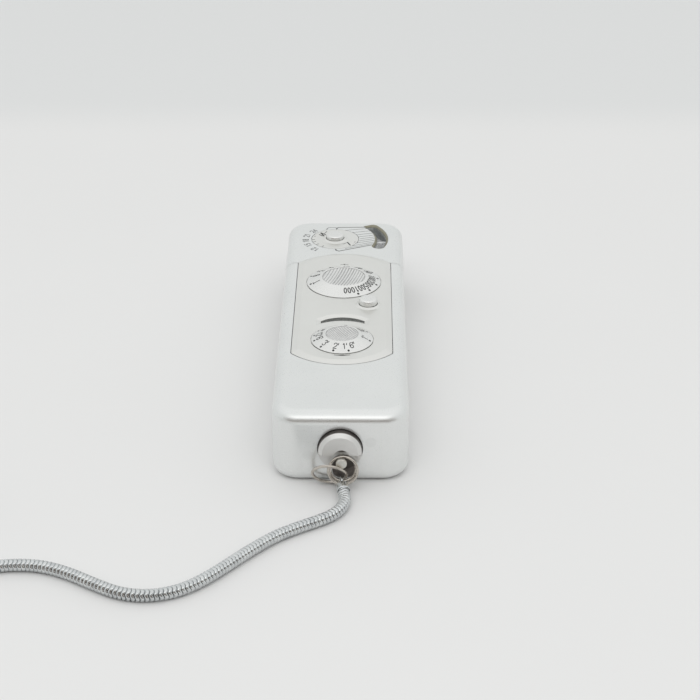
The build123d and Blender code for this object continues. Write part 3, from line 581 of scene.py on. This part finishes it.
def plate_marks():
    arc = [(polar(DISTANCE, 7.36, a), 0.16 + 0.22 * (1 - abs(a + 89) / 14) ** 2)
           for a in range(-102, -75, 2)]
    marks = [([a[0], b[0]], (a[1] + b[1]) / 2) for a, b in zip(arc, arc[1:])]
    marks.append(([(-0.32, -23.98 - 0.22), (0.42, -23.98 - 0.22)], 0.34))
    marks += [([(0.03, 21.82)], 0.5), ([(-0.9, 21.72), (-0.35, 21.8)], 0.1),
              ([(0.4, 21.8), (0.95, 21.72)], 0.1)]
    ink("plate_index_marks", marks, flat(PLATE_TOP), "camera_body")


def meter_marks():
    numbers = []
    for label, angle, out in (("12", 232, 7.75), ("15", 209.5, 7.4), ("18", 188.5, 7.2), ("21", 164, 7.2),
                              ("24", 139, 7.1)):
        numbers += [(line, 0.19) for line in write(label, SPEED, out, angle + 3.7, -7.4, 1.4, 0.72, True)]
    ink("film_speed_figures", numbers, flat(CASE_TOP), "camera_body", "fine_ink")
    edge = [([(-4.6, 43.3), (-4.5, 43.9), (-4.1, 44.45), (-2.3, 44.52)], 0.18),
            ([(-2.2, 43.4), (-2.15, 44.0), (-1.8, 44.5), (4.7, 44.78)], 0.3),
            ([(-2.2, 31.45), (-2.1, 30.85), (-1.4, 30.4), (6.4, 34.05)], 0.3),
            ([(-2.24, 31.5)], 0.34), ([(-2.2, 43.5)], 0.26), ([(-4.6, 43.3)], 0.24)]
    ink("meter_fan_edges", edge, flat(CASE_TOP), "camera_body", "fine_ink")
    starts = [(0.07, 42.84), (1.85, 41.5), (2.94, 40.1), (3.38, 38.9), (3.6, 37.7), (3.45, 36.5),
              (3.0, 35.3), (1.9, 33.6), (0.15, 31.9)]
    ends = [(5.2, 43.85), (6.1, 42.5), (6.62, 41.2), (6.9, 39.9), (7.06, 38.8), (7.1, 37.8), (7.06, 36.8),
            (6.9, 35.8), (6.7, 34.9)]
    fan = [([start, end], 0.15) for start, end in zip(starts, ends)]
    fan += [([start], 0.24) for start in (starts[0], starts[1], starts[6], starts[7], starts[8])]
    ink("meter_fan_lines", fan, flat(CASE_TOP), "camera_body", "fine_ink")
    arrow = [([(-6.35, 40.1), (-5.6, 39.25)], 0.26), ([(-6.0, 41.1), (-5.2, 39.2)], 0.34),
             ([(-5.9, 41.1), (-4.8, 39.95)], 0.26), ([(-5.1, 40.7), (-4.62, 42.0)], 0.16),
             ([(-0.5, 34.4), (0.6, 35.4)], 0.14), ([(0.6, 35.4), (1.25, 33.8)], 0.3)]
    arrow += [([polar(SPEED, 5.2, angle)], 0.3) for angle in (163, 338)]
    arrow += [([polar(SPEED, 5.0, angle), polar(SPEED, 5.6, angle)], 0.16)
              for angle in (186, 200, 218, 237)]
    ink("film_speed_pointers", arrow, flat(DISC_TOP), "speed_disc")


def counter_marks():
    marks = []
    for n in range(24):
        angle = 90 + 15 * (n - 11)
        marks.append(([polar(DISTANCE, 11.3, angle - 7.5), polar(DISTANCE, 10.9, angle - 7.5)], 0.12))
        label = str((2 * n) % 50)
        marks += [(line, 0.13) for line in
                  write(label, DISTANCE, 10.7, angle - 2.4 * (len(label) - 1), 4.8, 0.95, 0.55, False)]
    ink("counter_figures", marks, flat(14.5), "counter_disc", "white_ink")


# Knurled grips and the meter's rim

def grip_top(name, centre, radius, body, pitch, height, lean, crossed):
    """The ridged face of a dished grip, over the plain CAD face, with its grooves darker as painted shade.
    """
    high = DIAL_RIDGE - 0.16
    per_ridge = 6
    columns = int(2 * radius / pitch * per_ridge)
    rows = columns if crossed else 30
    turn = radians(lean)

    def ridge(distance):
        phase = (distance / pitch) % 1
        return 1 - abs(2 * phase - 1)

    points, faces, tops, finishes = [], [], [], []
    for i in range(columns + 1):
        across = radius * (2 * i / columns - 1) * 0.9995
        reach = sqrt(radius**2 - across**2)
        for j in range(rows + 1):
            along = reach * (2 * j / rows - 1)
            share = (across**2 + along**2) / radius**2
            fade = min(1, (1 - share) * 6)
            rise = ridge(across)
            if crossed:
                rise = min(rise, ridge(along)) * 1.4
            z = high - GRIP_DISH * (1 - share) + 0.03 + height * rise * fade
            tops.append(rise)
            x = across * cos(turn) - along * sin(turn)
            y = across * sin(turn) + along * cos(turn)
            points.append((centre[0] + x, centre[1] + y, z))
    for i in range(columns):
        for j in range(rows):
            corners = (i * (rows + 1) + j, (i + 1) * (rows + 1) + j, (i + 1) * (rows + 1) + j + 1,
                       i * (rows + 1) + j + 1)
            faces.append(corners)
            # Faces low in the grooves take the darker finish: painted shade
            finishes.append(int(sum(tops[c] for c in corners) < 1.5))
    return mesh_piece(name, points, faces, body, ["dial", "groove_shade"], smooth=False,
                      face_finish=finishes)


def crescent(grow, rounding_near, rounding_tip, rounding_far):
    """The meter opening's outline, as part.py draws it, with its corners rounded."""
    inner, outer = METER_INNER - grow, METER_OUTER + grow
    spread = degrees(grow / METER_OUTER)
    near, far = METER_FROM - spread, METER_TO + spread
    corners = [polar(METER, inner, near), polar(METER, inner, far), polar(METER, outer, far - METER_LEAN),
               polar(METER, outer, near)]
    trims = (rounding_near, rounding_tip, rounding_far, rounding_near)

    def arc(radius, start, stop, trim_start, trim_stop):
        sign = 1 if stop > start else -1
        low = start + sign * degrees(trim_start / radius)
        high = stop - sign * degrees(trim_stop / radius)
        return [polar(METER, radius, low + (high - low) * i / 24) for i in range(25)]

    def corner(before, at, after):
        return [before * (1 - t)**2 + at * 2 * t * (1 - t) + after * t**2 for t in (0.2, 0.4, 0.6, 0.8)]

    up = arc(inner, near, far, trims[0], trims[1])
    down = arc(outer, far - METER_LEAN, near, trims[2], trims[3])
    far_side = (corners[2] - corners[1]).normalized()
    near_side = (corners[0] - corners[3]).normalized()
    far_run = [corners[1] + far_side * trims[1], corners[2] - far_side * trims[2]]
    near_run = [corners[3] + near_side * trims[3], corners[0] - near_side * trims[0]]
    outline = up + corner(up[-1], corners[1], far_run[0]) + far_run
    outline += corner(far_run[1], corners[2], down[0]) + down
    outline += corner(down[-1], corners[3], near_run[0]) + near_run
    return outline + corner(near_run[1], corners[0], up[0])


def meter_rim():
    """The olive bevel round the meter's window, with the wall below it."""
    loops = [(0.455, 16.004), (0.43, 16.012), (-0.03, 15.6), (-0.06, 15.5)]
    points, faces = [], []
    for grow, z in loops:
        points += [(p.x, p.y, z) for p in crescent(grow, 1.0 + grow, 0.3 + grow / 2, 0.9 + grow / 2)]
    count = len(points) // len(loops)
    for row in range(len(loops) - 1):
        for i in range(count):
            j = (i + 1) % count
            faces.append((row * count + i, (row + 1) * count + i, (row + 1) * count + j, row * count + j))
    return mesh_piece("meter_window_rim", points, faces, "camera_body", ["olive"])


def weld_spots():
    """Two faint round marks on the near end of the shell."""
    around = 32
    points, faces = [], []
    for x, z in ((6.2, 9.5), (-6.6, 6.5)):
        first = len(points)
        points += [(x + SPOT_R * cos(2 * pi * i / around), END_Y - SPOT_LIFT,
                    z + SPOT_R * sin(2 * pi * i / around)) for i in range(around)]
        faces.append(tuple(first + i for i in range(around)))
    return mesh_piece("weld_spots", points, faces, "sliding_shell", ["spot"])


def painted_shade_patch():
    """A dark sheet of painted shade behind the rings, following the shell's lower edge round."""
    around, rings = 32, 8
    spots, faces = [(PATCH_X, PATCH_Z)], []
    for ring in range(1, rings + 1):
        reach = PATCH_R * ring / rings
        spots += [(PATCH_X + reach * cos(2 * pi * i / around), PATCH_Z + reach * sin(2 * pi * i / around))
                  for i in range(around)]
    points = []
    for x, z in spots:
        bend = max(0, SHELL_EDGE - z)
        points.append((x, END_Y - PATCH_LIFT + SHELL_EDGE - sqrt(SHELL_EDGE**2 - bend**2), z))
    for i in range(around):
        faces.append((0, 1 + i, 1 + (i + 1) % around))
        for ring in range(rings - 1):
            a, b = 1 + ring * around + i, 1 + ring * around + (i + 1) % around
            faces.append((a, a + around, b + around, b))
    return mesh_piece("ring_shadow_patch", points, faces, "sliding_shell", ["patch_shade"])


# Floor and light

def make_floor():
    mesh = bpy.data.meshes.new("floor")
    near, far = -3.0, 4.0
    mesh.from_pydata([(-3, near, 0), (3, near, 0), (3, far, 0), (-3, far, 0)], [], [(0, 1, 2, 3)])
    floor = bpy.data.objects.new("floor", mesh)
    bpy.context.collection.objects.link(floor)
    material, tree, shader, place = nodes_of("pale_floor")
    split = tree.nodes.new("ShaderNodeSeparateXYZ")
    tree.links.new(place, split.inputs["Vector"])
    edge = tree.nodes.new("ShaderNodeMapRange")
    edge.interpolation_type = "SMOOTHSTEP"
    for name, number in zip(("From Min", "From Max", "To Min", "To Max"), (0.150, 0.185, 0, 1)):
        edge.inputs[name].default_value = number
    tree.links.new(split.outputs["Y"], edge.inputs["Value"])
    tone = tree.nodes.new("ShaderNodeMix")
    tone.data_type = "RGBA"
    tree.links.new(edge.outputs["Result"], tone.inputs["Factor"])
    tree.links.new(mix(tree, noise(tree, place, 60, 3), (0.775, 0.775, 0.772), (0.79, 0.79, 0.787)),
                   tone.inputs["A"])
    tone.inputs["B"].default_value = (0.73, 0.738, 0.738, 1)
    tree.links.new(tone.outputs["Result"], shader.inputs["Base Color"])
    tree.links.new(remap(tree, noise(tree, place, 2, 2), 0.3, 0.7, 0.55, 0.65), shader.inputs["Roughness"])
    shader.inputs["Specular IOR Level"].default_value = 0.25
    mesh.materials.append(material)


def make_world():
    """A bright room, darker and browner low down on the near side, with a brighter band above that."""
    world = bpy.data.worlds.new("room")
    bpy.context.scene.world = world
    world.use_nodes = True
    tree = world.node_tree
    background = next(n for n in tree.nodes if n.type == "BACKGROUND")
    place = tree.nodes.new("ShaderNodeTexCoord").outputs["Generated"]
    split = tree.nodes.new("ShaderNodeSeparateXYZ")
    tree.links.new(place, split.inputs["Vector"])

    def ramp(value, low, high, to_low, to_high):
        node = tree.nodes.new("ShaderNodeMapRange")
        node.interpolation_type = "SMOOTHSTEP"
        for name, number in zip(("From Min", "From Max", "To Min", "To Max"), (low, high, to_low, to_high)):
            node.inputs[name].default_value = number
        tree.links.new(value, node.inputs["Value"])
        return node.outputs["Result"]

    def times(one, other):
        node = tree.nodes.new("ShaderNodeMath")
        node.operation = "MULTIPLY"
        tree.links.new(one, node.inputs[0])
        tree.links.new(other, node.inputs[1])
        return node.outputs["Value"]

    near = ramp(split.outputs["Y"], -0.9, -0.25, 1, 0)
    dark = times(near, ramp(split.outputs["Z"], 0.3, 0.52, 1, 0))
    window = times(ramp(split.outputs["Z"], 0.5, 0.72, 0, 1), ramp(split.outputs["Z"], 0.74, 0.98, 1, 0))
    glow = times(near, window)
    sky = mix(tree, ramp(split.outputs["Z"], 0.3, 0.9, 0, 1), (0.84, 0.855, 0.85), (1.0, 1.005, 1.0))

    def over(factor, one, colour):
        node = tree.nodes.new("ShaderNodeMix")
        node.data_type = "RGBA"
        tree.links.new(factor, node.inputs["Factor"])
        tree.links.new(one, node.inputs["A"])
        node.inputs["B"].default_value = (*colour, 1)
        return node.outputs["Result"]

    lit = over(glow, over(dark, sky, (0.20, 0.165, 0.14)), (2.0, 1.99, 1.97))
    tree.links.new(lit, background.inputs["Color"])
    background.inputs["Strength"].default_value = 0.93


def make_lights():
    data = bpy.data.lights.new("softbox", "AREA")
    data.shape = "RECTANGLE"
    data.size, data.size_y = 0.9, 0.35
    data.energy = 1.2
    light = bpy.data.objects.new("softbox", data)
    light.location = (0.0, -0.50, 0.78)
    light.visible_glossy = False
    aim = Vector(light.location)
    light.rotation_mode = "QUATERNION"
    light.rotation_quaternion = aim.to_track_quat("Z", "Y")
    bpy.context.collection.objects.link(light)
    view = bpy.context.scene.view_settings
    view.view_transform = "Standard"
    view.look = "None"
    view.exposure = 0.0


make_camera()
FINISH = make_materials()
chain, route = snake_chain()
split_ring()
finish_nodes()
shutter_marks()
distance_marks()
plate_marks()
meter_marks()
counter_marks()
grip_top("shutter_grip_ridges", SHUTTER, SHUTTER_GRIP - 0.02, "shutter_dial", 0.66, 0.16, -15, False)
grip_top("distance_grip_knurl", DISTANCE, DISTANCE_GRIP - 0.02, "distance_dial", 0.5, 0.12, 32, True)
meter_rim()
weld_spots()
painted_shade_patch()
make_floor()
make_world()
make_lights()
